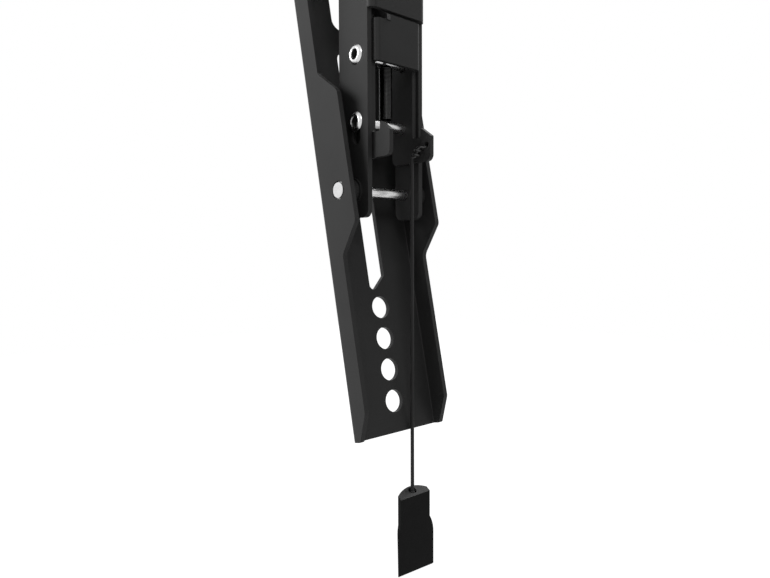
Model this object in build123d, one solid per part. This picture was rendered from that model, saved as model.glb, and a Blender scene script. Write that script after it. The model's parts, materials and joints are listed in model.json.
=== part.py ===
"""Tilting TV wall bracket: one hook-on arm with a tilt pivot, a tilt stay and a spring latch on a pull cord.

Millimetres, +Z up, +X across the bracket, +Y from the wall to the screen.
The origin is the middle of the face with which the bracket leans on its wall rail.
"""
from build123d import *
from math import atan2, cos, degrees, hypot, radians, sin, sqrt
import os

# Fits
TOUCH = 0.05            # between flat faces that slide on each other
FIT = 0.05              # radial, a pin or bolt in its hole
SLIDE = 0.3             # each side, a pin in its slot

# Wall bracket: a folded channel that hangs on the rail
SHEET = 2.0
BRACKET_WIDTH = 28.0
BRACKET_DEPTH = 19.7
BRACKET_BEND = 3.0      # outside radius of the folds
WEB_HEIGHT = 120.0
LEG_BELOW_WEB = 76.5
LEG_ABOVE_WEB = 20.0
LEG_SET_BACK = 2.4      # below the web, behind its face
LOWER_LEG_DEPTH = 16.2
LEG_TAPER_TOP = 40.8    # below the web, where the legs start to narrow
LEG_TAPER_HEIGHT = 10.0
LEG_CORNER = 3.2

# Hooks: the fixed pair above the web and the sliding pair below it
UPPER_SEAT_ABOVE_WEB = 8.0
LOWER_SEAT_BELOW_WEB = 44.9
TOP_MOUTH = 4.6
TOP_HOOK_DROP = 8.0
TOP_HOOK_THICK = 4.8
LATCH_MOUTH = 1.3       # in front of the web's face, with the set back of the walls behind it
LATCH_TIP_RISE = 3.7
LATCH_HOOK_REACH = 6.7
LATCH_HOOK_HEIGHT = 9.5

# Latch: a smaller channel that slides up and down between the legs
LATCH_SHEET = 1.8
LATCH_WIDTH = 22.6
LATCH_BEND = 2.0
LATCH_BACK = 15.3       # back edges of the walls behind the web's face
LATCH_WALL_FRONT = 3.3  # front edges of the walls behind the web's face
PANEL_BACK = 0.2        # face of the panel behind the web's face
PANEL_HEIGHT = 17.6
PANEL_GAP = 1.2         # under the web at rest
NOTCH_WIDTH = 4.9
NOTCH_HEIGHT = 2.2
NOTCH_CORNER = 1.0
LUG_WIDTH = 1.7         # a small wedge beside the notch
LUG_HEIGHT = 2.2
LUG_PROUD = 0.5
LATCH_TRAVEL = 6.0
LATCH_STOP = 0.1        # clear of the slots' ends

# The two cross pins of the latch and its spring
PIN_R = 2.0
PIN_BORE_R = 1.8
PIN_BORE_DEPTH = 12.0
PIN_HEAD_R = 3.75
PIN_HEAD = 1.1
PIN_Y = 9.3
UPPER_PIN_BELOW_WEB = 15.5
PIN_SPACING = 24.9
SPRING_R = 2.65
SPRING_WIRE = 0.5

# Tilt pivot
PIVOT_BELOW_WEB = 66.4
PIVOT_Y = 10.8
PIVOT_R = 2.1
PIVOT_HEAD_R = 3.5      # fills the hole of the left flange
PIVOT_RECESS = 1.1      # from the flange's face in to the head
PIVOT_CAP_R = 4.5
PIVOT_CAP = 1.5
PIVOT_SPACER_R = 4.2
PIVOT_WASHER_R = 5.0
PIVOT_WASHER = 0.8

# TV arm: a long folded channel, in its own frame along S with the pivot at 0
TILT = 12.3             # degrees from plumb at rest
ARM_WIDTH = 43.4
ARM_FACE = 12.7         # from the pivot to the face that takes the screen
ARM_BEND = 2.4
ARM_BELOW = 93.7        # from the pivot to the lower end
ARM_LENGTH = 436.9
LIP_DEPTH = 10.1
EAR_DEPTH = 20.3
EAR_BELOW_PIVOT = 13.5
EAR_ABOVE_PIVOT = 36.3
EAR_SLOPE = 10.6
END_TAPER = 10.6
END_LIP_DEPTH = 4.9
HOLE_R = 4.4
HOLE_PITCH = 12.5
HOLE_COUNT = 4
END_TO_HOLE = 12.2
SLOT_WIDTH = 8.3
SLOT_BRIDGE = 9.9
END_TO_SLOT = 57.1
SLOT_COUNT = 3
SLOT_SLANT = 5.6        # the lowest slot ends at 45 degrees, this far up its right edge

# Tilt stay: a slotted strap on one side, clamped by a knob
STAY_SHEET = 2.0
STAY_WIDTH = 14.0
STAY_PIN_ABOVE_WEB = 9.6
STAY_PIN_Y = 13.3
STAY_PIN_R = 2.5
STAY_HEAD_R = 4.6
STAY_HEAD = 0.7
CLAMP_UP_ARM = 112.0    # from the pivot to the clamp bolt
CLAMP_EAR_HALF = 20.0
BOLT_R = 3.0
BOLT_HEAD_R = 6.0
BOLT_HEAD = 2.1
STAY_SLOT_SIDE = 0.7    # each side of the bolt
STAY_SLOT_END = 0.4
FRICTION_WASHER = 1.0
FRICTION_WASHER_R = 7.5
WASHER = 1.2
WASHER_R = 6.0
KNOB_R = 11.0
KNOB_LENGTH = 14.0
KNOB_LOBES = 6
INSERT_R = 4.6
INSERT_LENGTH = 8.0

# Pull cord and tab
CORD_R = 0.75
CORD_LENGTH = 131.5     # from the knot at the latch to the tab
CORD_X = 6.3
CORD_Y = 0.25
CORD_HOLE_R = 1.1
CORD_HOLE_Y = -4.6
CORD_HOLE_UP = 6.3      # above the latch's lower edge
KNOT_R = 1.9
KNOT_HEIGHT = 5.0
EYE_KNOT_R = 1.3
TAB_THICK = 4.0         # at the middle, from the flat front to the rounded back
TAB_BACK_R = 14.3
TAB_CORD_IN = 2.25      # from the front face to the cord
TAB_UPPER_WIDTH = 15.2
TAB_LOWER_WIDTH = 19.4
TAB_HEIGHT = 31.4
TAB_SHOULDER_TOP = 10.5
TAB_SHOULDER_BOTTOM = 17.5
TAB_TOP_SLOPE = 0.62    # the top rises towards the back
TAB_CORNER = 0.7
TAB_SEAT_WIDTH = 3.6
TAB_SEAT_LENGTH = 2.4
TAB_KNOT_R = 1.1
KNOT_FIT = 0.1

# Places that follow from the sizes
web_bottom = -WEB_HEIGHT / 2
web_top = WEB_HEIGHT / 2
leg_in = BRACKET_WIDTH / 2 - SHEET
leg_out = BRACKET_WIDTH / 2
leg_bottom = web_bottom - LEG_BELOW_WEB
leg_top = web_top + LEG_ABOVE_WEB
upper_seat = web_top + UPPER_SEAT_ABOVE_WEB
lower_seat = web_bottom - LOWER_SEAT_BELOW_WEB
pivot_z = web_bottom - PIVOT_BELOW_WEB
upper_pin_z = web_bottom - UPPER_PIN_BELOW_WEB
lower_pin_z = upper_pin_z - PIN_SPACING
panel_top = web_bottom - PANEL_GAP
panel_bottom = panel_top - PANEL_HEIGHT
latch_bottom = lower_seat - LATCH_HOOK_HEIGHT
latch_in = LATCH_WIDTH / 2 - LATCH_SHEET
latch_out = LATCH_WIDTH / 2
arm_in = ARM_WIDTH / 2 - SHEET
arm_out = ARM_WIDTH / 2
arm_low = -ARM_BELOW
arm_high = ARM_LENGTH - ARM_BELOW
hole_top = CORD_HOLE_UP + latch_bottom

# The arm's own frame: X across, Y towards the screen, Z up the arm
arm_place = Pos(0, PIVOT_Y, pivot_z) * Rot(-TILT, 0, 0)

# The clamp bolt and the stay at rest
clamp_y = PIVOT_Y + CLAMP_UP_ARM * sin(radians(TILT))
clamp_z = pivot_z + CLAMP_UP_ARM * cos(radians(TILT))
stay_z = web_top + STAY_PIN_ABOVE_WEB
stay_reach = hypot(clamp_y - STAY_PIN_Y, stay_z - clamp_z)
stay_reach_plumb = hypot(PIVOT_Y - STAY_PIN_Y, stay_z - pivot_z - CLAMP_UP_ARM)
stay_angle = degrees(atan2(clamp_y - STAY_PIN_Y, stay_z - clamp_z))
washer_in = arm_in - TOUCH - FRICTION_WASHER
stay_out = washer_in - TOUCH
stay_in = stay_out - STAY_SHEET
washer_out = arm_out + WASHER


def outline(*corners):
    """A closed face from corners (across, up, radius), each rounded by its radius."""
    face = make_face(Polyline(*[(a, b) for a, b, _ in corners], close=True))
    for radius in sorted({r for _, _, r in corners if r}):
        places = [Vector(a, b) for a, b, r in corners if r == radius]
        near = [v for v in face.vertices() if any((Vector(v.X, v.Y) - p).length < 0.001 for p in places)]
        face = fillet(near, radius)
    return face


def plate_pair(face, inside, outside):
    """The same side profile as two upright plates, from inside to outside of the middle."""
    side = Plane.YZ * face
    right = extrude(Pos(inside, 0, 0) * side, outside - inside)
    return right + mirror(right, about=Plane.YZ)


def fold(width, depth, front, bottom, top, sheet, bend):
    """An upright channel, its web at the front and its open side towards +Y."""
    half = width / 2
    outer = outline((-half, depth, 0), (-half, front, bend), (half, front, bend), (half, depth, 0))
    gap = half - sheet
    web = front + sheet
    inner = outline((-gap, depth + 1, 0), (-gap, web, bend - sheet), (gap, web, bend - sheet), (gap, depth + 1, 0))
    return extrude(Pos(0, 0, bottom) * (outer - inner), top - bottom)


def bar_x(radius, start, end, y=0.0, z=0.0):
    """A round bar along X."""
    return extrude(Pos(start, y, z) * (Plane.YZ * Circle(radius)), end - start)


def ring_x(radius, bore, start, end, y=0.0, z=0.0):
    return bar_x(radius, start, end, y, z) - bar_x(bore, start - 1, end + 1, y, z)


def slot_x(width, low, high, reach, y):
    """A cutter along X for an upright slot between two end centres."""
    shape = Pos(y, (low + high) / 2) * Rot(0, 0, 90) * SlotCenterToCenter(high - low, width)
    return extrude(Plane.YZ * shape, reach, both=True)


def turned_x(*points):
    """A solid of revolution about X from (x, radius) points."""
    return revolve(Plane.XY * make_face(Polyline(*points, close=True)), Axis.X)


def leg_profile():
    """The flat side of a leg: lower end, taper towards the screen side, and the hook at the top."""
    taper_top = web_bottom - LEG_TAPER_TOP
    hook_front = -TOP_MOUTH - TOP_HOOK_THICK
    tip = upper_seat - TOP_HOOK_DROP
    return outline(
        (LEG_SET_BACK, leg_bottom, LEG_CORNER),
        (LOWER_LEG_DEPTH, leg_bottom, LEG_CORNER),
        (LOWER_LEG_DEPTH, taper_top - LEG_TAPER_HEIGHT, 3),
        (BRACKET_DEPTH, taper_top, 3),
        (BRACKET_DEPTH, leg_top, 5),
        (hook_front, leg_top, 6),
        (hook_front, tip + 3, 1),
        (-TOP_MOUTH, tip, 0.6),
        (-TOP_MOUTH, upper_seat, 1.2),
        (0, upper_seat, 0.8),
        (0, web_bottom, 0),
        (LEG_SET_BACK, web_bottom, 0),
    )


def make_wall_bracket():
    legs = plate_pair(leg_profile(), leg_in, leg_out)
    corner = BRACKET_BEND
    for x in (-leg_out, leg_out):
        legs -= Pos(x, 0, 0) * Box(2 * SHEET, 2 * corner, WEB_HEIGHT)
    channel = fold(BRACKET_WIDTH, BRACKET_DEPTH - 4, 0, web_bottom, web_top, SHEET, BRACKET_BEND)
    body = channel + legs
    body -= bar_x(PIN_R + FIT, -leg_out, leg_out, PIN_Y, upper_pin_z)
    low = lower_pin_z - LATCH_TRAVEL - LATCH_STOP
    body -= slot_x(2 * (PIN_R + SLIDE), low, lower_pin_z + LATCH_STOP, leg_out + 1, PIN_Y)
    body -= bar_x(PIVOT_R + FIT, -leg_out, leg_out, PIVOT_Y, pivot_z)
    body -= bar_x(STAY_PIN_R + FIT, 0, leg_out, STAY_PIN_Y, stay_z)
    return body


def latch_profile():
    """The flat side of a latch wall, with its upward hook."""
    tip = lower_seat + LATCH_TIP_RISE
    front = -LATCH_HOOK_REACH
    return outline(
        (LATCH_WALL_FRONT, panel_bottom, 0),
        (LATCH_WALL_FRONT, lower_seat, 0.9),
        (-LATCH_MOUTH, lower_seat, 0.9),
        (-LATCH_MOUTH, tip, 0.3),
        (front, lower_seat, 0.8),
        (front, latch_bottom, 2.4),
        (LATCH_BACK, latch_bottom, 2.4),
        (LATCH_BACK, panel_bottom, 0),
    )


def make_latch_slide():
    walls = plate_pair(latch_profile(), latch_in, latch_out)
    panel = fold(LATCH_WIDTH, LATCH_BACK, PANEL_BACK, panel_bottom, panel_top, LATCH_SHEET, LATCH_BEND)
    body = walls + panel
    notch_end = NOTCH_WIDTH - latch_out
    notch_floor = panel_top - NOTCH_HEIGHT
    notch = outline(
        (-leg_in, panel_top + 1, 0), (-leg_in, notch_floor, 0),
        (notch_end, notch_floor, NOTCH_CORNER), (notch_end, panel_top + 1, 0),
    )
    body -= extrude(Plane.XZ * notch, 2 * LATCH_BEND, both=True)
    wedge = outline((PANEL_BACK, panel_top, 0), (PANEL_BACK, panel_top - LUG_HEIGHT, 0),
                    (PANEL_BACK - LUG_PROUD, panel_top - LUG_HEIGHT, 0))
    body += extrude(Pos(notch_end, 0, 0) * (Plane.YZ * wedge), LUG_WIDTH)
    high = upper_pin_z + LATCH_TRAVEL + LATCH_STOP
    body -= slot_x(2 * (PIN_R + SLIDE), upper_pin_z - LATCH_STOP, high, latch_out + 1, PIN_Y)
    body -= bar_x(PIN_R + FIT, -latch_out, latch_out, PIN_Y, lower_pin_z)
    body -= bar_x(CORD_HOLE_R, 0, latch_out, CORD_HOLE_Y, hole_top)
    return body


def make_cross_pin(z, gap):
    """A tubular rivet: flared and open at the left, a round factory head at the right."""
    end = leg_out + gap
    shape = turned_x(
        (-end - PIN_HEAD, 0), (-end - PIN_HEAD, PIN_BORE_R + 0.5), (-end - 0.3, PIN_HEAD_R), (-end, PIN_HEAD_R),
        (-end, PIN_R), (end, PIN_R), (end, PIN_HEAD_R), (end + 0.5, PIN_HEAD_R),
        (end + PIN_HEAD, PIN_HEAD_R - 1.2), (end + PIN_HEAD + 0.2, 0),
    )
    shape -= bar_x(PIN_BORE_R, -end - PIN_HEAD - 1, -end - PIN_HEAD + PIN_BORE_DEPTH)
    return Pos(0, PIN_Y, z) * shape


def make_latch_spring():
    """The closed outer form of the coils, with a loop round each cross pin."""
    loop_r = PIN_R + 0.1 + SPRING_WIRE / 2
    top = upper_pin_z - loop_r
    bottom = lower_pin_z + loop_r
    coils = extrude(Pos(0, PIN_Y, bottom) * (Circle(SPRING_R) - Circle(SPRING_R - SPRING_WIRE)), top - bottom)
    web = Pos(0, PIN_Y, 0) * Box(2 * SPRING_R - SPRING_WIRE, SPRING_WIRE, SPRING_WIRE)
    body = coils + Pos(0, 0, top - SPRING_WIRE / 2) * web + Pos(0, 0, bottom + SPRING_WIRE / 2) * web
    for z in (upper_pin_z, lower_pin_z):
        body += Pos(0, PIN_Y, z) * Rot(0, 90, 0) * Torus(loop_r, SPRING_WIRE / 2)
    return body


def arm_profile():
    """The flat side of a flange: a shallow lip with a deep ear at the pivot and one at the clamp."""
    lip = ARM_FACE - LIP_DEPTH
    ear = ARM_FACE - EAR_DEPTH
    slope = EAR_SLOPE
    taper_lip = ARM_FACE - END_LIP_DEPTH
    clamp_low = CLAMP_UP_ARM - CLAMP_EAR_HALF
    clamp_high = CLAMP_UP_ARM + CLAMP_EAR_HALF
    return outline(
        (ARM_FACE, arm_low, 0),
        (taper_lip, arm_low, 0.8),
        (lip, arm_low + END_TAPER, 3),
        (lip, -EAR_BELOW_PIVOT - slope, 4),
        (ear, -EAR_BELOW_PIVOT, 2.5),
        (ear, EAR_ABOVE_PIVOT, 4),
        (lip, EAR_ABOVE_PIVOT + slope, 2.5),
        (lip, clamp_low - slope, 2.5),
        (ear, clamp_low, 4),
        (ear, clamp_high, 4),
        (lip, clamp_high + slope, 2.5),
        (lip, arm_high - END_TAPER, 3),
        (taper_lip, arm_high, 0.8),
        (ARM_FACE, arm_high, 0),
    )


def web_cut(shape):
    """A cutter through the arm's web from a flat shape, across X and along the arm."""
    return extrude(Plane.XZ * shape, -ARM_FACE - 1)


def round_slot(low, high):
    return Pos(0, (low + high) / 2) * Rot(0, 0, 90) * SlotOverall(high - low, SLOT_WIDTH)


def slanted_slot(low, high):
    """A slot whose lower end runs off at 45 degrees to a rounded tip on its left side."""
    half = SLOT_WIDTH / 2
    past = SLOT_WIDTH - SLOT_SLANT
    middle = (low + high) / 2
    foot = outline(
        (-half, low - past, past / sqrt(2)), (half, low + SLOT_SLANT, 0.6), (half, middle, 0), (-half, middle, 0),
    )
    return foot + round_slot(middle - half, high)


def make_tv_arm():
    back = ARM_FACE - EAR_DEPTH - 1
    channel = mirror(fold(ARM_WIDTH, -back, -ARM_FACE, arm_low, arm_high, SHEET, ARM_BEND), about=Plane.XZ)
    body = channel & extrude(Plane.YZ * arm_profile(), ARM_WIDTH, both=True)
    for end, way in ((arm_low, 1), (arm_high, -1)):
        for number in range(HOLE_COUNT):
            place = end + way * (END_TO_HOLE + number * HOLE_PITCH)
            body -= web_cut(Pos(0, place) * Circle(HOLE_R))
    slot_length = (ARM_LENGTH - 2 * END_TO_SLOT - (SLOT_COUNT - 1) * SLOT_BRIDGE) / SLOT_COUNT
    for number in range(SLOT_COUNT):
        low = arm_low + END_TO_SLOT + number * (slot_length + SLOT_BRIDGE)
        high = low + slot_length
        body -= web_cut(slanted_slot(low, high) if number == 0 else round_slot(low, high))
    body -= bar_x(PIVOT_HEAD_R + FIT, -ARM_WIDTH, 0)
    body -= bar_x(PIVOT_R + FIT, 0, ARM_WIDTH)
    body -= bar_x(BOLT_R + FIT, 0, ARM_WIDTH, 0, CLAMP_UP_ARM)
    return arm_place * body


def make_pivot_pin():
    """A steel pin across both channels: a head sunk in the left flange, a low round cap at the right."""
    head = PIVOT_RECESS - arm_out
    shape = turned_x(
        (head, 0), (head, PIVOT_HEAD_R - 0.2), (head + 0.2, PIVOT_HEAD_R), (-arm_in, PIVOT_HEAD_R),
        (-arm_in, PIVOT_R), (arm_out, PIVOT_R), (arm_out, PIVOT_CAP_R), (arm_out + 0.6, PIVOT_CAP_R),
        (arm_out + PIVOT_CAP, PIVOT_CAP_R - 1.6), (arm_out + PIVOT_CAP, 0),
    )
    return arm_place * shape


def make_pivot_washer(side):
    start = leg_out + TOUCH
    washer = ring_x(PIVOT_WASHER_R, PIVOT_R + FIT, start, start + PIVOT_WASHER)
    return arm_place * (washer if side > 0 else mirror(washer, about=Plane.YZ))


def make_pivot_spacer(side):
    spacer = ring_x(PIVOT_SPACER_R, PIVOT_R + FIT, leg_out + TOUCH + PIVOT_WASHER, arm_in)
    return arm_place * (spacer if side > 0 else mirror(spacer, about=Plane.YZ))


def make_stay_link():
    """The slotted strap, drawn hanging down from its pin and then swung to its place."""
    half = STAY_WIDTH / 2
    strap = Pos(0, -stay_reach / 2) * Rot(0, 0, 90) * SlotCenterToCenter(stay_reach, STAY_WIDTH)
    low = -stay_reach - STAY_SLOT_END
    high = -stay_reach_plumb + STAY_SLOT_END
    slot = Pos(0, (low + high) / 2) * Rot(0, 0, 90) * SlotCenterToCenter(high - low, 2 * (BOLT_R + STAY_SLOT_SIDE))
    foot = Pos(0, -stay_reach) * Circle(half + 1)
    face = strap + foot - slot - Circle(STAY_PIN_R + FIT)
    link = extrude(Pos(stay_in, 0, 0) * (Plane.YZ * face), STAY_SHEET)
    return Pos(0, STAY_PIN_Y, stay_z) * Rot(stay_angle, 0, 0) * link


def make_stay_pin():
    """A rivet through the right leg, with a low head outside the strap."""
    shape = turned_x(
        (leg_in - 1.2, 0), (leg_in - 1.2, STAY_PIN_R + 1.0), (leg_in, STAY_PIN_R + 1.4), (leg_in, STAY_PIN_R),
        (stay_out + TOUCH, STAY_PIN_R), (stay_out + TOUCH, STAY_HEAD_R), (stay_out + TOUCH + STAY_HEAD, STAY_HEAD_R - 0.4),
        (stay_out + TOUCH + STAY_HEAD, 0),
    )
    return Pos(0, STAY_PIN_Y, stay_z) * shape


def make_stay_spacer():
    return ring_x(STAY_HEAD_R, STAY_PIN_R + FIT, leg_out, stay_in - TOUCH, STAY_PIN_Y, stay_z)


def make_clamp_bolt():
    """A low round head inside the arm, the threaded end outside."""
    under_head = stay_in - TOUCH
    end = washer_out + INSERT_LENGTH + 1
    shape = turned_x(
        (under_head - BOLT_HEAD, 0), (under_head - BOLT_HEAD, BOLT_HEAD_R - 1.2), (under_head - 0.9, BOLT_HEAD_R),
        (under_head, BOLT_HEAD_R), (under_head, BOLT_R), (end - 0.8, BOLT_R), (end, BOLT_R - 0.8), (end, 0),
    )
    return arm_place * Pos(0, 0, CLAMP_UP_ARM) * shape


def make_friction_washer():
    ring = ring_x(FRICTION_WASHER_R, BOLT_R + FIT, washer_in, arm_in)
    return arm_place * Pos(0, 0, CLAMP_UP_ARM) * ring


def make_clamp_washer():
    ring = ring_x(WASHER_R, BOLT_R + FIT, arm_out, washer_out)
    return arm_place * Pos(0, 0, CLAMP_UP_ARM) * ring


def make_knob_insert():
    start = washer_out + TOUCH
    insert = ring_x(INSERT_R, BOLT_R + FIT, start, start + INSERT_LENGTH)
    return arm_place * Pos(0, 0, CLAMP_UP_ARM) * insert


def make_clamp_knob():
    """A lobed hand knob, hollow where its threaded insert and the bolt's end sit."""
    start = washer_out + TOUCH
    grip = Circle(KNOB_R)
    scallop = Circle(KNOB_R * 0.34)
    for place in PolarLocations(KNOB_R * 1.16, KNOB_LOBES):
        grip -= place * scallop
    grip = extrude(Pos(start + 3, 0, 0) * (Plane.YZ * grip), KNOB_LENGTH - 3)
    grip = fillet(grip.edges().group_by(Axis.X)[-1], 1.2)
    neck = bar_x(INSERT_R + 2.4, start, start + 4)
    bore = bar_x(INSERT_R, start - 1, start + INSERT_LENGTH)
    end_room = bar_x(BOLT_R + 0.5, start, start + INSERT_LENGTH + 2)
    return arm_place * Pos(0, 0, CLAMP_UP_ARM) * (grip + neck - bore - end_room)


knot_z = latch_bottom + KNOT_HEIGHT / 2 + 0.9
cord_top = knot_z - KNOT_HEIGHT / 2
cord_bottom = cord_top - CORD_LENGTH
tab_front_top = cord_bottom - TAB_CORD_IN * TAB_TOP_SLOPE


def make_pull_cord():
    return extrude(Pos(CORD_X, CORD_Y, cord_bottom) * Circle(CORD_R), CORD_LENGTH)


def make_cord_hitch():
    """The knotted end: a knot inside, a strand through the hole and a stopper knot outside."""
    knot = Pos(CORD_X, CORD_Y, knot_z) * scale(Sphere(KNOT_R), by=(1, 1, KNOT_HEIGHT / 2 / KNOT_R))
    eye = Vector(latch_in - 1.4, CORD_HOLE_Y, hole_top)
    path = FilletPolyline((CORD_X, CORD_Y, knot_z), eye, (latch_out + 1, CORD_HOLE_Y, hole_top), radius=0.9)
    strand = sweep(Plane(path @ 0, z_dir=path % 0) * Circle(CORD_R), path=path)
    flat = 0.6
    stopper = scale(Sphere(EYE_KNOT_R), by=(flat, 1, 1))
    return knot + strand + Pos(latch_out + KNOT_FIT + EYE_KNOT_R * flat, CORD_HOLE_Y, hole_top) * stopper


def make_pull_tab():
    """A grip, flat in front and rounded behind, wider below its shoulders, with a slanting top and a knot's seat."""
    upper = TAB_UPPER_WIDTH / 2
    lower = TAB_LOWER_WIDTH / 2
    top = TAB_THICK * TAB_TOP_SLOPE
    half = Polyline((0, top), (upper, top), (upper, -TAB_SHOULDER_TOP))
    half += TangentArc((lower, -TAB_SHOULDER_BOTTOM), (upper, -TAB_SHOULDER_TOP), tangent=(0, 1))
    half += Polyline((lower, -TAB_SHOULDER_BOTTOM), (lower, -TAB_HEIGHT), (0, -TAB_HEIGHT))
    front = make_face(half + mirror(half, about=Plane.YZ))
    front = fillet(front.vertices().group_by(Axis.Y)[0].filter_by(lambda v: abs(v.X) > 1), TAB_CORNER)
    plan = Pos(0, TAB_THICK - TAB_BACK_R) * Circle(TAB_BACK_R)
    plan &= Rectangle(TAB_LOWER_WIDTH, TAB_THICK, align=(Align.CENTER, Align.MIN))
    side = outline((0, 0, 0), (TAB_THICK, top, 0), (TAB_THICK, -TAB_HEIGHT, 0.6), (0, -TAB_HEIGHT, 0.6))
    body = extrude(Plane.XZ * front, -TAB_THICK) & extrude(Pos(0, 0, -TAB_HEIGHT) * plan, TAB_HEIGHT + top)
    body &= extrude(Plane.YZ * side, TAB_LOWER_WIDTH, both=True)
    floor = cord_bottom - 2 * TAB_KNOT_R - KNOT_FIT - tab_front_top
    seat = Pos(0, TAB_CORD_IN, floor) * SlotOverall(TAB_SEAT_WIDTH, TAB_SEAT_LENGTH)
    body -= extrude(seat, top - floor)
    return Pos(CORD_X, CORD_Y - TAB_CORD_IN, tab_front_top) * body


def make_tab_knot():
    return Pos(CORD_X, CORD_Y, cord_bottom - TAB_KNOT_R) * Sphere(TAB_KNOT_R)


parts = {
    "wall_bracket": make_wall_bracket(),
    "latch_slide": make_latch_slide(),
    "upper_cross_pin": make_cross_pin(upper_pin_z, 0),
    "lower_cross_pin": make_cross_pin(lower_pin_z, 2 * TOUCH),
    "latch_spring": make_latch_spring(),
    "tv_arm": make_tv_arm(),
    "pivot_pin": make_pivot_pin(),
    "pivot_washer_left": make_pivot_washer(-1),
    "pivot_washer_right": make_pivot_washer(1),
    "pivot_spacer_left": make_pivot_spacer(-1),
    "pivot_spacer_right": make_pivot_spacer(1),
    "stay_link": make_stay_link(),
    "stay_pin": make_stay_pin(),
    "stay_spacer": make_stay_spacer(),
    "clamp_bolt": make_clamp_bolt(),
    "friction_washer": make_friction_washer(),
    "clamp_washer": make_clamp_washer(),
    "knob_insert": make_knob_insert(),
    "clamp_knob": make_clamp_knob(),
    "pull_cord": make_pull_cord(),
    "cord_hitch": make_cord_hitch(),
    "pull_tab": make_pull_tab(),
    "tab_knot": make_tab_knot(),
}

os.makedirs("parts", exist_ok=True)
for name, solid in parts.items():
    export_step(solid, f"parts/{name}.step")
print(f"stay {stay_angle:.2f} deg, reach {stay_reach:.2f}, plumb {stay_reach_plumb:.2f}")
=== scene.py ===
import json
from math import cos, pi, radians, sin

import bpy
from mathutils import Matrix, Vector


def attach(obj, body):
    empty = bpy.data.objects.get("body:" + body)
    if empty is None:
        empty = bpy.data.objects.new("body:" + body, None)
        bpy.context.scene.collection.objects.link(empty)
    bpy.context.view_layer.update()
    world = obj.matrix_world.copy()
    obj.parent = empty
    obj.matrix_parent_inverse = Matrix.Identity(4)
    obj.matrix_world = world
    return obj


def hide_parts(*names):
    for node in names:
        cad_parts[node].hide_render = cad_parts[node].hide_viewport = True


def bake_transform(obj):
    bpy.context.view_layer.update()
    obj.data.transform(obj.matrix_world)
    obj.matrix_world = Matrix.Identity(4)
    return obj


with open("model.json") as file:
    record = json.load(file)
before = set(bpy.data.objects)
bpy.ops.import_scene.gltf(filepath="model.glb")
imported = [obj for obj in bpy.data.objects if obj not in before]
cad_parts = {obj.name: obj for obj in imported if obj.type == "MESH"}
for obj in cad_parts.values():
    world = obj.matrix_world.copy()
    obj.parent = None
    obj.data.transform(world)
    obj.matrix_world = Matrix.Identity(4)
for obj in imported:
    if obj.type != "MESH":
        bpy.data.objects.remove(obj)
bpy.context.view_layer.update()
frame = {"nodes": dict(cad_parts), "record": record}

# Sizes are in metres, in the shared frame: +Z up, +X across the bracket, +Y from the wall to the screen

# The camera, fitted to the photograph
CAMERA_AT = (-0.159129, -0.175127, -0.150315)
CAMERA_TURN = radians(-40.794)
CAMERA_DIP = radians(3.272)
CAMERA_ROLL = radians(-0.249)
CAMERA_LENS = 28.628

# Cross pins and spring
PIN_Y = 0.0093
UPPER_PIN = Vector((0, PIN_Y, -0.0755))
LOWER_PIN = Vector((0, PIN_Y, -0.1004))
PIN_R = 0.002
PIN_RIM_R = 0.00375
PIN_BORE_R = 0.0018
PIN_BORE_DEPTH = 0.012
PIN_LIP = 0.0011        # how far the rolled end stands out of the leg
LEG_OUT = 0.014
UPPER_PIN_REACH = LEG_OUT
LOWER_PIN_REACH = LEG_OUT + 0.0001
WIRE_R = 0.00025
COIL_R = 0.00265 - WIRE_R
COIL_TURNS = 40
COIL_STEPS = 20     # in one turn
WIRE_SIDES = 8
COIL_X = 0.0008
LOOP_R = PIN_R + 0.0001 + WIRE_R
LOOP_X = COIL_X - COIL_R + 2 * WIRE_R   # the loops are at the left side of the coil

# Tilt pivot, turned with the arm
TILT = radians(12.3)
PIVOT = Vector((0, 0.0108, -0.1264))
PIVOT_R = 0.0021
PIVOT_HEAD_R = 0.0035
PIVOT_HEAD_OUT = -0.0206    # sunk in the left flange
PIVOT_HEAD_IN = -0.0197
PIVOT_BOSS_R = 0.003
PIVOT_BOSS_OUT = -0.0219
PIVOT_CAP_IN = 0.0217
PIVOT_CAP_R = 0.0045
PIVOT_CAP = 0.0015

# Cord: from the knot at the latch down to the tab
CORD_X = 0.0063
CORD_Y = 0.00025
CORD_R = 0.00075
CORD_TOP = -0.1135
CORD_LENGTH = 0.1315
CORD_BOTTOM = CORD_TOP - CORD_LENGTH
CORD_STRAIGHT = 12 * CORD_R     # the cord leaves both knots straight
EYELET = Vector((0.0113, -0.0046, -0.1081))
STRAND_R = 0.0005       # the cord where it is pulled tight in the knot
WRAPS = 2
WRAP_STEPS = 8
WRAP_R = 0.00125
WRAP_FROM = 0.05        # where the wraps lie along the slanting strand
WRAP_TO = 0.9
STOPPER_R = 0.0009
STOPPER_WIRE_R = 0.00085
STOPPER_FLAT = 0.5
STOPPER_FROM_EYELET = Vector((0.0005, 0.0004, 0))
STRAND_FROM_EYELET = [Vector((-0.0022, 0.0009, -0.0012)), Vector((-0.0012, 0.0005, -0.0008)),
                      Vector((0.0005, 0.0003, -0.0004))]
KNOT_LOW = Vector((0.0071, -0.0009, -0.1127))
KNOT_HIGH = Vector((0.0077, -0.0026, -0.109))

# Pull tab's grip
TAB_FRONT_TOP = -0.2464
TAB_NECK_HALF = 0.0076
TAB_SHOULDER_TOP = -0.2569
TAB_SHOULDER_BOTTOM = -0.2639
TAB_NECK_LEFT_OUT = 0.0006      # the neck is a little wider at its left side
TAB_FOOT_HALF = 0.0097
TAB_FOOT_TOP = -0.277
TAB_FOOT_LEFT_UP = 0.0008       # the lower edge rises a little towards the left

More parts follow.
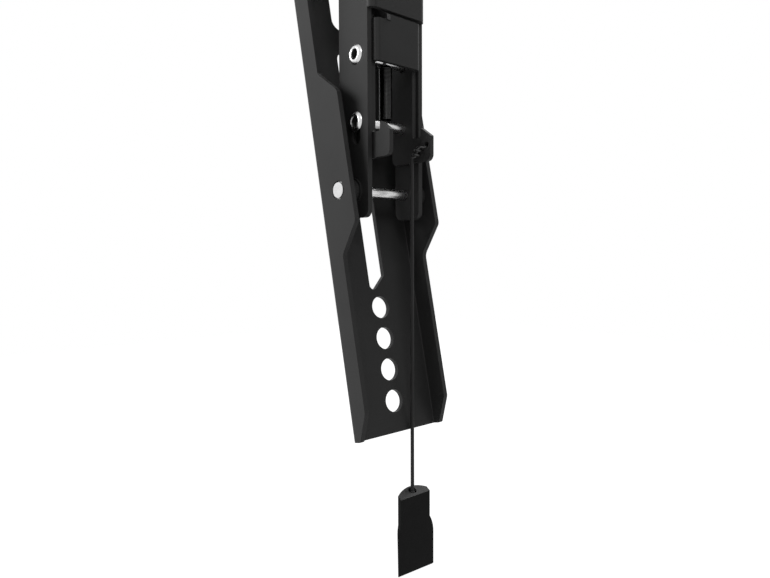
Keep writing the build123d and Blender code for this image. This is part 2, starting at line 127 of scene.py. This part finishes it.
# Modelling
MERGE_WITHIN = 0.000002     # points this close are one point
FLAT_WITHIN = radians(0.5)  # faces this flat are one face
SAME_LENGTH = 0.000001      # lengths that differ by less are taken as equal
SHARP_FROM = 35             # degrees, from here an edge is sharp
EDGE_ROUND = 0.00025        # how far the sharp edges are rounded
TAB_EDGE_ROUND = 0.0004
TURNED_SIDES = 40

# Light and floor
WORLD_LIGHT = 0.2
FLOOR_Z = -0.75
FLOOR_GLOW = 0.8     # under the object the rest of the floor's white is lit, and keeps its shadow
FLOOR_WHITE = 1.15
FLOOR_NEAR = 0.6
FLOOR_FAR = 1.6


# Shading

class Value:
    """One shader value. Arithmetic on it adds Math nodes to its finish."""

    def __init__(self, finish, socket):
        self.finish = finish
        self.socket = socket

    def _math(self, operation, a, b):
        return self.finish.node("ShaderNodeMath", {"operation": operation}, {0: a, 1: b})

    def __add__(self, other):
        return self._math("ADD", self, other)

    def __mul__(self, other):
        return self._math("MULTIPLY", self, other)

    __radd__ = __add__


class Finish:
    """A material in the making: its nodes and its one surface shader."""

    def __init__(self, name):
        self.material = bpy.data.materials.new(name)
        self.material.use_nodes = True
        self.tree = self.material.node_tree
        self.tree.nodes.clear()

    def node(self, kind, settings=None, sockets=None, output=0):
        """Adds a node: its settings first, then the values or links of its sockets."""
        made = self.tree.nodes.new(kind)
        for key, setting in (settings or {}).items():
            if key == "stops":
                fill_ramp(made.color_ramp, setting)
            else:
                setattr(made, key, setting)
        for key, given in (sockets or {}).items():
            if isinstance(given, Value):
                self.tree.links.new(given.socket, made.inputs[key])
            else:
                made.inputs[key].default_value = given
        return Value(self, made.outputs[output]) if made.outputs else None

    def noise(self, scale, detail, roughness=0.5):
        """A noise over the object coordinates, which are in metres."""
        at = self.node("ShaderNodeTexCoord", output="Object")
        sockets = {"Vector": at, "Scale": scale, "Detail": detail, "Roughness": roughness}
        return self.node("ShaderNodeTexNoise", None, sockets)

    def ramp(self, value, *stops):
        return self.node("ShaderNodeValToRGB", {"stops": stops}, {"Fac": value})

    def between(self, factor, first, second):
        """A colour between two, by a factor."""
        return self.node("ShaderNodeMix", {"data_type": "RGBA"}, {0: factor, 6: first, 7: second}, output=2)

    def bump(self, height, depth, strength):
        return self.node("ShaderNodeBump", None, {"Height": height, "Distance": depth, "Strength": strength})

    def surface(self, **sockets):
        """Closes the material with one Principled shader."""
        named = {key.replace("_", " "): given for key, given in sockets.items()}
        shader = self.node("ShaderNodeBsdfPrincipled", None, named)
        self.node("ShaderNodeOutputMaterial", None, {"Surface": shader})
        return self.material


def fill_ramp(ramp, stops):
    while len(ramp.elements) < len(stops):
        ramp.elements.new(1.0)
    for element, (position, grey) in zip(ramp.elements, stops):
        element.position = position
        element.color = (grey, grey, grey, 1)


def grey(level):
    return (level, level, level, 1)


def powder_coat(name, level):
    """Satin black powder coat: a fine orange peel and a faint cloudiness."""
    finish = Finish(name)
    peel = finish.noise(1500, 3.0, 0.55)
    cloud = finish.noise(60, 3.0)
    colour = finish.between(cloud, grey(level * 0.85), grey(level * 1.15))
    rough = 0.36 + cloud * 0.1
    return finish.surface(Base_Color=colour, Roughness=rough, Specular_IOR_Level=0.1,
                          Normal=finish.bump(peel, 0.00002, 0.4))


def bright_steel(name, level, rough):
    """Zinc-plated steel with faint drawn lines."""
    finish = Finish(name)
    fine = finish.noise(900, 4.0)
    patch = finish.noise(180, 3.0)
    colour = finish.between(patch, grey(level * 0.9), grey(level))
    return finish.surface(Base_Color=colour, Metallic=1.0, Roughness=rough + fine * 0.12,
                          Normal=finish.bump(fine, 0.00001, 0.3))


def moulded_plastic(name, level, rough, grain, gloss=0.3, patchy=0.15):
    """Black plastic with a fine moulded grain."""
    finish = Finish(name)
    texture = finish.noise(grain, 2.0)
    flow = finish.noise(300, 3.0)
    patches = finish.ramp(flow, (0.35, 0.0), (0.65, 1.0))
    colour = finish.between(patches, grey(level * (1 - patchy)), grey(level * (1 + patchy)))
    return finish.surface(Base_Color=colour, Roughness=rough + texture * 0.08, Specular_IOR_Level=gloss,
                          Normal=finish.bump(texture, 0.00002, 0.35))


def braided_cord(name, level, rough=0.5, gloss=0.2):
    """Black cord: a fine weave round and along each piece, by its own UV map."""
    finish = Finish(name)
    at = finish.node("ShaderNodeTexCoord", output="UV")
    weave = finish.node("ShaderNodeTexWave", {"wave_type": "BANDS", "bands_direction": "DIAGONAL"},
                        {"Vector": at, "Scale": 14.0, "Distortion": 0.0}, output=1)
    colour = finish.between(weave, grey(level * 0.75), grey(level * 1.2))
    return finish.surface(Base_Color=colour, Roughness=rough, Specular_IOR_Level=gloss,
                          Normal=finish.bump(weave, 0.00003, 0.3))


def turned_brass(name):
    finish = Finish(name)
    fine = finish.noise(900, 3.0)
    return finish.surface(Base_Color=(0.75, 0.56, 0.27, 1), Metallic=1.0, Roughness=0.25 + fine * 0.1)


FINISHES = {
    "black_paint": powder_coat("black_powder_coat", 0.032),
    "latch_paint": powder_coat("latch_powder_coat", 0.03),
    "plated_steel": bright_steel("zinc_plate", 0.66, 0.22),
    "spring_wire": bright_steel("spring_wire", 0.045, 0.12),
    "black_nylon": moulded_plastic("black_nylon", 0.02, 0.5, 1500),
    "brass": turned_brass("turned_brass"),
    "knob_plastic": moulded_plastic("knob_plastic", 0.018, 0.45, 1800),
    "tab_plastic": moulded_plastic("tab_plastic", 0.0048, 0.45, 2500, gloss=0.05),
    # A paler plastic for the tab's upward faces: painted light, where light from above falls on them
    "tab_top_painted_light": moulded_plastic("tab_top_painted_light", 0.013, 0.5, 1800, gloss=0.25, patchy=0.5),
    "cord": braided_cord("black_cord", 0.012),
    "tied_cord": braided_cord("tied_cord", 0.012, rough=0.28, gloss=0.4),
}


# Modelling

def only(piece):
    """Leaves just this piece selected and active, in object mode."""
    bpy.ops.object.select_all(action="DESELECT")
    piece.select_set(True)
    bpy.context.view_layer.objects.active = piece


def finished(piece, name, slot, body, *replaced, smooth=40):
    """Names a piece, gives it its finish and its body, and hides the CAD nodes it replaces."""
    only(piece)
    bpy.ops.object.transform_apply(location=True, rotation=True, scale=True)
    piece.name = name
    piece.data.name = name
    piece.data.materials.clear()
    piece.data.materials.append(FINISHES[slot])
    if piece.type == "MESH":
        bpy.ops.object.shade_smooth_by_angle(angle=radians(smooth))
    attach(piece, body)
    if replaced:
        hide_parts(*replaced)
    return piece


def apply_all(piece):
    only(piece)
    for modifier in list(piece.modifiers):
        bpy.ops.object.modifier_apply(modifier=modifier.name)


def softened(node, name, slot, body, width):
    """A copy of a CAD node with its sharp edges rounded a little."""
    source = frame["nodes"][node]
    piece = source.copy()
    piece.data = source.data.copy()
    piece.parent = None
    piece.matrix_world = Matrix.Identity(4)
    for key in list(piece.keys()):
        del piece[key]
    bpy.context.collection.objects.link(piece)
    only(piece)
    bpy.ops.object.mode_set(mode="EDIT")
    bpy.ops.mesh.select_all(action="SELECT")
    bpy.ops.mesh.remove_doubles(threshold=MERGE_WITHIN)
    bpy.ops.mesh.dissolve_limited(angle_limit=FLAT_WITHIN)
    bpy.ops.object.mode_set(mode="OBJECT")
    bevel = piece.modifiers.new("rounded", "BEVEL")
    bevel.width = width
    bevel.segments = 2
    bevel.limit_method = "ANGLE"
    bevel.angle_limit = radians(SHARP_FROM)
    apply_all(piece)
    finished(piece, name, slot, body, node, smooth=SHARP_FROM)
    flat = piece.modifiers.new("flat_faces", "WEIGHTED_NORMAL")
    flat.weight = 50
    flat.keep_sharp = True
    apply_all(piece)
    return piece


def turned(name, slot, body, place, profile, replaced):
    """A turned piece round its X axis, from (along, radius) points; it starts and ends on the axis."""
    start, radius = profile[1]
    bpy.ops.object.select_all(action="DESELECT")
    bpy.ops.mesh.primitive_circle_add(vertices=TURNED_SIDES, radius=radius, fill_type="NOTHING",
                                      location=(start, 0, 0), rotation=(0, pi / 2, 0))
    piece = bpy.context.object
    bpy.ops.object.transform_apply(location=True, rotation=True, scale=True)
    bpy.ops.object.mode_set(mode="EDIT")
    bpy.ops.mesh.select_all(action="SELECT")
    for (x, r), (next_x, next_r) in zip(profile[1:-2], profile[2:-1]):
        bpy.ops.mesh.extrude_region_move(TRANSFORM_OT_translate={"value": (next_x - x, 0, 0)})
        if abs(next_r - r) > SAME_LENGTH:
            bpy.ops.transform.resize(value=(1, next_r / r, next_r / r), center_override=(next_x, 0, 0))
    last = profile[-1][0] - profile[-2][0]
    bpy.ops.mesh.extrude_region_move(TRANSFORM_OT_translate={"value": (last, 0, 0)})
    bpy.ops.mesh.merge(type="CENTER")
    bpy.ops.object.mode_set(mode="OBJECT")
    for vertex in piece.data.vertices:
        off_ring = max(abs(vertex.co.x - start), abs(vertex.co.yz.length - radius))
        vertex.select = off_ring < SAME_LENGTH
    bpy.ops.object.mode_set(mode="EDIT")
    bpy.ops.mesh.extrude_region_move(TRANSFORM_OT_translate={"value": (profile[0][0] - start, 0, 0)})
    bpy.ops.mesh.merge(type="CENTER")
    bpy.ops.mesh.select_all(action="SELECT")
    bpy.ops.mesh.normals_make_consistent(inside=False)
    bpy.ops.object.mode_set(mode="OBJECT")
    piece.matrix_world = place
    return finished(piece, name, slot, body, replaced)


def cord_line(name, points, radius):
    """A round cord on one smooth NURBS line."""
    curve = bpy.data.curves.new(name, "CURVE")
    curve.dimensions = "3D"
    curve.bevel_depth = radius
    curve.bevel_resolution = 4
    curve.resolution_u = 8
    curve.use_fill_caps = True
    spline = curve.splines.new("NURBS")
    spline.points.add(len(points) - 1)
    for point, place in zip(spline.points, points):
        point.co = (*place, 1)
    spline.order_u = 3
    spline.use_endpoint_u = True
    piece = bpy.data.objects.new(name, curve)
    bpy.context.collection.objects.link(piece)
    return piece


def as_mesh(piece):
    only(piece)
    bpy.ops.object.convert(target="MESH")
    return bpy.context.object


def make_clinched_pin(name, node, at, reach, body):
    """A tubular rivet with its rolled-over open end at the left, and its bore given the black nylon finish
    as painted shade inside the hole.
    """
    lip = -reach - PIN_LIP
    floor = lip + PIN_BORE_DEPTH
    profile = [
        (floor, 0), (floor, PIN_BORE_R),
        (lip + 0.0006, PIN_BORE_R), (lip + 0.00015, PIN_BORE_R + 0.0002),
        (lip, PIN_BORE_R + 0.0006), (lip + 0.0001, PIN_BORE_R + 0.0011),
        (-reach - 0.0003, PIN_RIM_R - 0.0001), (-reach - 0.0001, PIN_RIM_R),
        (-reach, PIN_RIM_R - 0.0001), (-reach, PIN_R),
        (reach, PIN_R), (reach, PIN_RIM_R),
        (reach + 0.0005, PIN_RIM_R), (reach + 0.0009, PIN_RIM_R - 0.0005),
        (reach + 0.0012, PIN_RIM_R - 0.0016), (reach + 0.0013, 0),
    ]
    pin = turned(name, "plated_steel", body, Matrix.Translation(at), profile, node)
    # The faces inside the bore get the black nylon finish: painted shade in the hole
    pin.data.materials.append(FINISHES["black_nylon"])
    for face in pin.data.polygons:
        off_axis = (face.center.yz - at.yz).length
        if face.center.x < floor + 0.0001 and off_axis < PIN_BORE_R:
            face.material_index = 1


def make_pivot_rivet():
    """The tilt's pin: a head sunk in the left flange, with a boss that stands out, and a low right cap."""
    cap_out = PIVOT_CAP_IN + PIVOT_CAP
    profile = [
        (PIVOT_BOSS_OUT, 0), (PIVOT_BOSS_OUT, PIVOT_BOSS_R - 0.0002),
        (PIVOT_BOSS_OUT + 0.0002, PIVOT_BOSS_R), (PIVOT_HEAD_OUT, PIVOT_BOSS_R),
        (PIVOT_HEAD_OUT, PIVOT_HEAD_R), (PIVOT_HEAD_IN, PIVOT_HEAD_R),
        (PIVOT_HEAD_IN, PIVOT_R), (PIVOT_CAP_IN, PIVOT_R),
        (PIVOT_CAP_IN, PIVOT_CAP_R), (PIVOT_CAP_IN + 0.0006, PIVOT_CAP_R),
        (cap_out, PIVOT_CAP_R - 0.0016), (cap_out, 0),
    ]
    place = Matrix.Translation(PIVOT) @ Matrix.Rotation(-TILT, 4, "X")
    turned("pivot_rivet", "plated_steel", "arm", place, profile, "pivot_pin")


def make_coil_spring():
    """Close coils with a loop round each cross pin."""
    top = UPPER_PIN.z - LOOP_R
    bottom = LOWER_PIN.z + LOOP_R
    bpy.ops.object.select_all(action="DESELECT")
    bpy.ops.mesh.primitive_circle_add(vertices=WIRE_SIDES, radius=WIRE_R, fill_type="NOTHING",
                                      location=(COIL_R, 0, 0), rotation=(pi / 2, 0, 0))
    coils = bpy.context.object
    bpy.ops.object.transform_apply(location=True, rotation=True, scale=True)
    screw = coils.modifiers.new("coils", "SCREW")
    screw.axis = "Z"
    screw.angle = 2 * pi
    screw.screw_offset = (top - bottom - 2 * WIRE_R) / COIL_TURNS
    screw.iterations = COIL_TURNS
    screw.steps = COIL_STEPS
    screw.render_steps = COIL_STEPS
    apply_all(coils)
    coils.location = (COIL_X, PIN_Y, bottom + WIRE_R)
    bpy.ops.object.transform_apply(location=True, rotation=True, scale=True)
    loops = []
    for pin in (UPPER_PIN, LOWER_PIN):
        for turn in (-1, 1):
            at = (LOOP_X + turn * WIRE_R, pin.y, pin.z)
            bpy.ops.mesh.primitive_torus_add(location=at, rotation=(0, pi / 2, 0),
                                             major_radius=LOOP_R, minor_radius=WIRE_R,
                                             major_segments=32, minor_segments=WIRE_SIDES)
            loops.append(bpy.context.object)
    bpy.ops.object.select_all(action="DESELECT")
    for piece in loops:
        piece.select_set(True)
    coils.select_set(True)
    bpy.context.view_layer.objects.active = coils
    bpy.ops.object.join()
    only(coils)
    bpy.ops.object.mode_set(mode="EDIT")
    bpy.ops.mesh.select_all(action="SELECT")
    bpy.ops.mesh.normals_make_consistent(inside=False)
    bpy.ops.object.mode_set(mode="OBJECT")
    coils.name = "coil_spring"
    coils.data.materials.clear()
    coils.data.materials.append(FINISHES["spring_wire"])
    bpy.ops.object.shade_smooth_by_angle(angle=radians(60))
    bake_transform(coils)
    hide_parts("latch_spring")


def make_tab_grip():
    """The black grip: its left side nearly straight, its foot askew, its upward faces a paler grey as
    painted light from above.
    """
    grip = softened("pull_tab", "tab_grip", "tab_plastic", "latch", TAB_EDGE_ROUND)
    for vertex in grip.data.vertices:
        height = (vertex.co.z - TAB_SHOULDER_BOTTOM) / (TAB_SHOULDER_TOP - TAB_SHOULDER_BOTTOM)
        side = (CORD_X - vertex.co.x) / TAB_NECK_HALF
        if height > 0 and side > 0:
            vertex.co.x -= TAB_NECK_LEFT_OUT * min(height, 1) * side * side
        if vertex.co.z < TAB_FOOT_TOP:
            vertex.co.z += TAB_FOOT_LEFT_UP * (CORD_X + TAB_FOOT_HALF - vertex.co.x) / (2 * TAB_FOOT_HALF)
    # The top faces get the paler finish: a painted highlight of the light from above
    grip.data.materials.append(FINISHES["tab_top_painted_light"])
    for face in grip.data.polygons:
        if face.normal.z > 0.6 and face.center.z > TAB_FRONT_TOP - 0.0005:
            face.material_index = 1
    return grip


def make_upper_knot():
    """The cord's end: up into the hook's eyelet, wrapped round itself, with a flat stopper outside."""
    start = Vector((CORD_X, CORD_Y, CORD_TOP))
    low, high = KNOT_LOW, KNOT_HIGH
    axis = (high - low).normalized()
    across = axis.cross(Vector((1, 0, 0))).normalized()
    beside = axis.cross(across)
    strand = [start, start + Vector((0, 0, 0.0006)), low, low.lerp(high, 0.5), high]
    strand += [EYELET + step for step in STRAND_FROM_EYELET]
    pieces = [as_mesh(cord_line("upper_knot", strand, STRAND_R))]
    wraps = []
    for step in range(WRAPS * WRAP_STEPS + 1):
        turn = 2 * pi * step / WRAP_STEPS
        along = low.lerp(high, WRAP_FROM + (WRAP_TO - WRAP_FROM) * step / (WRAPS * WRAP_STEPS))
        wraps.append(along + across * (WRAP_R * cos(turn)) + beside * (WRAP_R * sin(turn)))
    tail = [wraps[0] - axis * 0.0006 - beside * 0.0004, wraps[0] - axis * 0.0016 - beside * 0.0002]
    pieces.append(as_mesh(cord_line("wraps", tail[::-1] + wraps, STRAND_R)))
    bpy.ops.object.select_all(action="DESELECT")
    bpy.ops.mesh.primitive_torus_add(location=EYELET + STOPPER_FROM_EYELET, rotation=(0, pi / 2, 0),
                                     major_radius=STOPPER_R, minor_radius=STOPPER_WIRE_R,
                                     major_segments=20, minor_segments=12)
    stopper = bpy.context.object
    stopper.scale.z = STOPPER_FLAT
    pieces.append(stopper)
    for piece in pieces:
        piece.select_set(True)
    bpy.context.view_layer.objects.active = pieces[0]
    bpy.ops.object.join()
    knot = finished(pieces[0], "upper_knot", "cord", "latch", "cord_hitch", smooth=60)
    knot.data.materials[0] = FINISHES["tied_cord"]
    return knot


# The CAD pieces get their finishes, then some of them are replaced by finer ones

for node, piece in frame["nodes"].items():
    slot = next(part["material_slot"] for part in frame["record"]["subparts"] if part["node"] == node)
    piece.data.materials.clear()
    piece.data.materials.append(FINISHES[slot])

make_clinched_pin("upper_rivet", "upper_cross_pin", UPPER_PIN, UPPER_PIN_REACH, "bracket")
make_clinched_pin("lower_rivet", "lower_cross_pin", LOWER_PIN, LOWER_PIN_REACH, "latch")
make_pivot_rivet()
make_coil_spring()

softened("wall_bracket", "bracket_channel", "black_paint", "bracket", EDGE_ROUND)
softened("tv_arm", "arm_channel", "black_paint", "arm", EDGE_ROUND)
softened("latch_slide", "latch_channel", "latch_paint", "latch", EDGE_ROUND)
tab_grip = make_tab_grip()
upper_knot = make_upper_knot()
near_knot = CORD_TOP - CORD_STRAIGHT
near_tab = CORD_BOTTOM + CORD_STRAIGHT
cord_points = [(CORD_X, CORD_Y, z) for z in (CORD_TOP, near_knot, near_tab, CORD_BOTTOM)]
cord = cord_line("pull_cord_line", cord_points, CORD_R)
finished(cord, "pull_cord_line", "cord", "latch", "pull_cord")


# Camera, light and floor

def seen_as_white(tree):
    """1 for the rays that see a white background: the camera's own, reflected and refracted ones."""
    path = tree.nodes.new("ShaderNodeLightPath")
    seen = tree.nodes.new("ShaderNodeMath")
    seen.operation = "MAXIMUM"
    tree.links.new(path.outputs["Is Camera Ray"], seen.inputs[0])
    tree.links.new(path.outputs["Is Glossy Ray"], seen.inputs[1])
    also = tree.nodes.new("ShaderNodeMath")
    also.operation = "MAXIMUM"
    tree.links.new(seen.outputs[0], also.inputs[0])
    tree.links.new(path.outputs["Is Transmission Ray"], also.inputs[1])
    return also.outputs[0]


def make_world():
    world = bpy.data.worlds.new("studio")
    bpy.context.scene.world = world
    world.use_nodes = True
    tree = world.node_tree
    background = tree.nodes["Background"]
    background.inputs["Color"].default_value = (1, 1, 1, 1)
    strength = tree.nodes.new("ShaderNodeMapRange")
    strength.inputs["To Min"].default_value = WORLD_LIGHT
    strength.inputs["To Max"].default_value = 1.0
    tree.links.new(seen_as_white(tree), strength.inputs["Value"])
    tree.links.new(strength.outputs[0], background.inputs["Strength"])


def make_floor():
    bpy.ops.object.select_all(action="DESELECT")
    bpy.ops.mesh.primitive_plane_add(size=8, location=(0, 0, FLOOR_Z))
    floor = bpy.context.object
    floor.name = "studio_floor"
    material = bpy.data.materials.new("studio_floor")
    material.use_nodes = True
    tree = material.node_tree
    shader = tree.nodes["Principled BSDF"]
    shader.inputs["Base Color"].default_value = (0.9, 0.9, 0.9, 1)
    shader.inputs["Roughness"].default_value = 0.9
    glow = tree.nodes.new("ShaderNodeEmission")
    glow.inputs["Strength"].default_value = FLOOR_WHITE
    blend = tree.nodes.new("ShaderNodeMixShader")
    place = tree.nodes.new("ShaderNodeTexCoord")
    reach = tree.nodes.new("ShaderNodeVectorMath")
    reach.operation = "LENGTH"
    tree.links.new(place.outputs["Object"], reach.inputs[0])
    fade = tree.nodes.new("ShaderNodeMapRange")
    fade.inputs["From Min"].default_value = FLOOR_NEAR
    fade.inputs["From Max"].default_value = FLOOR_FAR
    fade.inputs["To Min"].default_value = FLOOR_GLOW
    fade.inputs["To Max"].default_value = 1.0
    tree.links.new(reach.outputs["Value"], fade.inputs["Value"])
    share = tree.nodes.new("ShaderNodeMath")
    share.operation = "MULTIPLY"
    tree.links.new(seen_as_white(tree), share.inputs[0])
    tree.links.new(fade.outputs[0], share.inputs[1])
    tree.links.new(share.outputs[0], blend.inputs[0])
    tree.links.new(shader.outputs[0], blend.inputs[1])
    tree.links.new(glow.outputs[0], blend.inputs[2])
    tree.links.new(blend.outputs[0], tree.nodes["Material Output"].inputs["Surface"])
    floor.data.materials.append(material)


def add_softbox(name, at, target, size, power):
    lamp = bpy.data.lights.new(name, "AREA")
    lamp.shape = "DISK"
    lamp.size = size
    lamp.energy = power
    holder = bpy.data.objects.new(name, lamp)
    holder.location = at
    holder.rotation_euler = (Vector(target) - Vector(at)).to_track_quat("-Z", "Y").to_euler()
    bpy.context.collection.objects.link(holder)


def make_camera():
    lens = bpy.data.cameras.new("camera")
    lens.lens = CAMERA_LENS
    lens.sensor_width = 36
    lens.clip_start = 0.01
    camera = bpy.data.objects.new("camera", lens)
    turn = Matrix.Rotation(CAMERA_TURN, 4, "Z") @ Matrix.Rotation(pi / 2 - CAMERA_DIP, 4, "X")
    camera.matrix_world = Matrix.Translation(CAMERA_AT) @ turn @ Matrix.Rotation(CAMERA_ROLL, 4, "Z")
    bpy.context.collection.objects.link(camera)
    bpy.context.scene.camera = camera


make_world()
make_floor()
add_softbox("left_softbox", at=(-1.25, 0.5, 0.4), target=(0, 0, -0.1), size=0.8, power=16.5)
add_softbox("top_softbox", at=(0.8, -0.05, 0.9), target=(0, 0, -0.15), size=0.7, power=8)
add_softbox("front_softbox", at=(-0.55, -1.2, 0.9), target=(0, 0, -0.1), size=0.6, power=5)
make_camera()
bpy.context.scene.view_settings.view_transform = "Standard"
